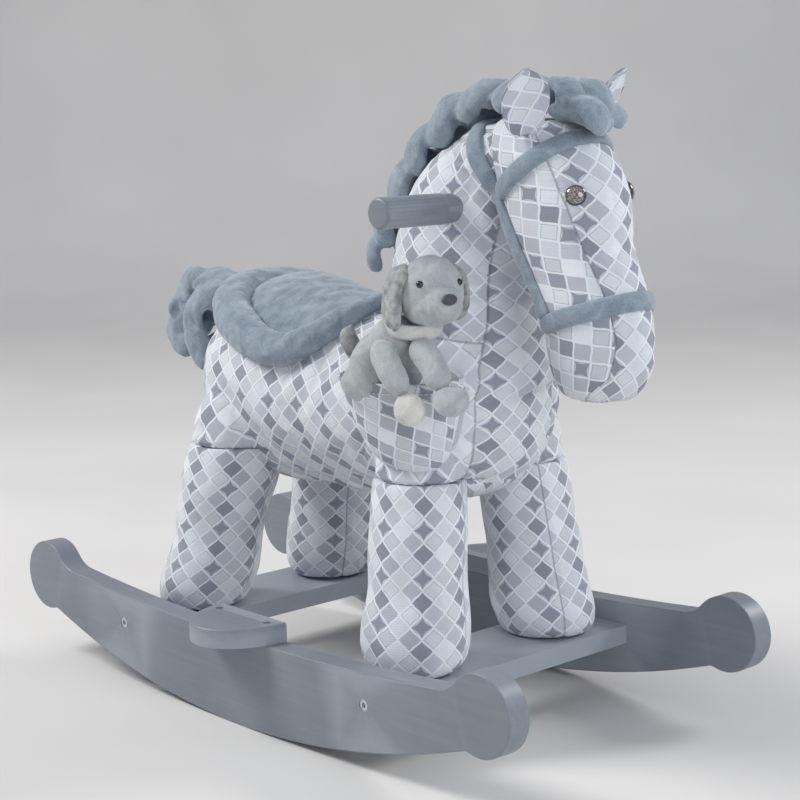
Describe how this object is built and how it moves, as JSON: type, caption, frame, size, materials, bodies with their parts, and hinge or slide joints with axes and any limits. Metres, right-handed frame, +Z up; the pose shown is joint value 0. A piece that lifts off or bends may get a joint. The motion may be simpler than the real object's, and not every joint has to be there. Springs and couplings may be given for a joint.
{
  "type": "plush rocking horse",
  "caption": "Stuffed fabric horse on a painted wooden base with two curved rockers, footrests, a cross handle, a padded saddle and a soft toy dog in a side pocket.",
  "frame": {"origin": "on the floor under the middle of the rocker base", "axes": "+X towards the horse's nose, +Y towards its left side, +Z up"},
  "size_m": [0.721, 0.427, 0.6044],
  "materials": {
    "bare_wood": "planed, unpainted",
    "blue_grey_plush": "short soft pile",
    "eye_plastic": "polished",
    "grey_painted_wood": "satin grey paint",
    "nose_thread": "satin stitch",
    "printed_cotton": "printed woven cotton, matt",
    "toy_cream_plush": "short soft pile",
    "toy_ear_plush": "short curly pile",
    "toy_grey_plush": "short soft pile",
    "washer_plastic": "moulded",
    "zinc_plated_steel": "bright zinc"
  },
  "bodies": {
    "horse": {"barrel_nuts": "zinc_plated_steel", "board_dowels": "bare_wood", "bracket_screws": "zinc_plated_steel", "browband": "blue_grey_plush", "cheek_strap": "blue_grey_plush", "eye_left": "eye_plastic", "eye_right": "eye_plastic", "eye_washers": "washer_plastic", "footrest_left": "grey_painted_wood", "footrest_right": "grey_painted_wood", "footrest_screws": "zinc_plated_steel", "forelock": "blue_grey_plush", "front_cross_board": "grey_painted_wood", "handle_bar": "grey_painted_wood", "handle_screw": "zinc_plated_steel", "head": "printed_cotton", "leg_bolt_washers": "zinc_plated_steel", "leg_bolts": "zinc_plated_steel", "leg_front_left": "printed_cotton", "leg_front_right": "printed_cotton", "leg_post_front_left": "bare_wood", "leg_post_front_right": "bare_wood", "leg_post_rear_left": "bare_wood", "leg_post_rear_right": "bare_wood", "leg_rear_left": "printed_cotton", "leg_rear_right": "printed_cotton", "mane": "blue_grey_plush", "neck": "printed_cotton", "neck_board": "bare_wood", "neck_brackets": "zinc_plated_steel", "noseband": "blue_grey_plush", "pocket": "printed_cotton", "rear_cross_board": "grey_painted_wood", "rocker_bolts": "zinc_plated_steel", "rocker_left": "grey_painted_wood", "rocker_right": "grey_painted_wood", "saddle_roll": "blue_grey_plush", "saddle_seat": "blue_grey_plush", "spine_board": "bare_wood", "spine_screws": "zinc_plated_steel", "torso": "printed_cotton"},
    "ear_left": {"ear_left": "printed_cotton"},
    "ear_right": {"ear_right": "printed_cotton"},
    "tail": {"tail": "blue_grey_plush"},
    "toy": {"puppy_arms": "toy_grey_plush", "puppy_body": "toy_grey_plush", "puppy_collar": "toy_cream_plush", "puppy_ear_left": "toy_ear_plush", "puppy_ear_right": "toy_ear_plush", "puppy_eyes": "eye_plastic", "puppy_head": "toy_grey_plush", "puppy_nose": "nose_thread", "puppy_paws": "toy_cream_plush", "puppy_tail": "toy_grey_plush"}
  },
  "joints": [
    {"name": "toy_lift", "type": "slide", "parent": "horse", "child": "toy", "axis": [0.45, -0.5, 0.74], "range_m": [0, 0.09]},
    {"name": "ear_left_fold", "type": "hinge", "parent": "horse", "child": "ear_left", "pos_m": [0.259, 0.044, 0.556], "axis": [-0.6753, 0.7375, -0.0108], "range_deg": [-12, 12], "stiffness_Nm_per_rad": 0.2},
    {"name": "ear_right_fold", "type": "hinge", "parent": "horse", "child": "ear_right", "pos_m": [0.259, -0.044, 0.556], "axis": [0.6753, 0.7375, 0.0108], "range_deg": [-12, 12], "stiffness_Nm_per_rad": 0.2},
    {"name": "tail_swing", "type": "hinge", "parent": "horse", "child": "tail", "pos_m": [-0.186, 0, 0.36], "axis": [0, 1, 0], "range_deg": [-15, 15], "stiffness_Nm_per_rad": 4}
  ]
}
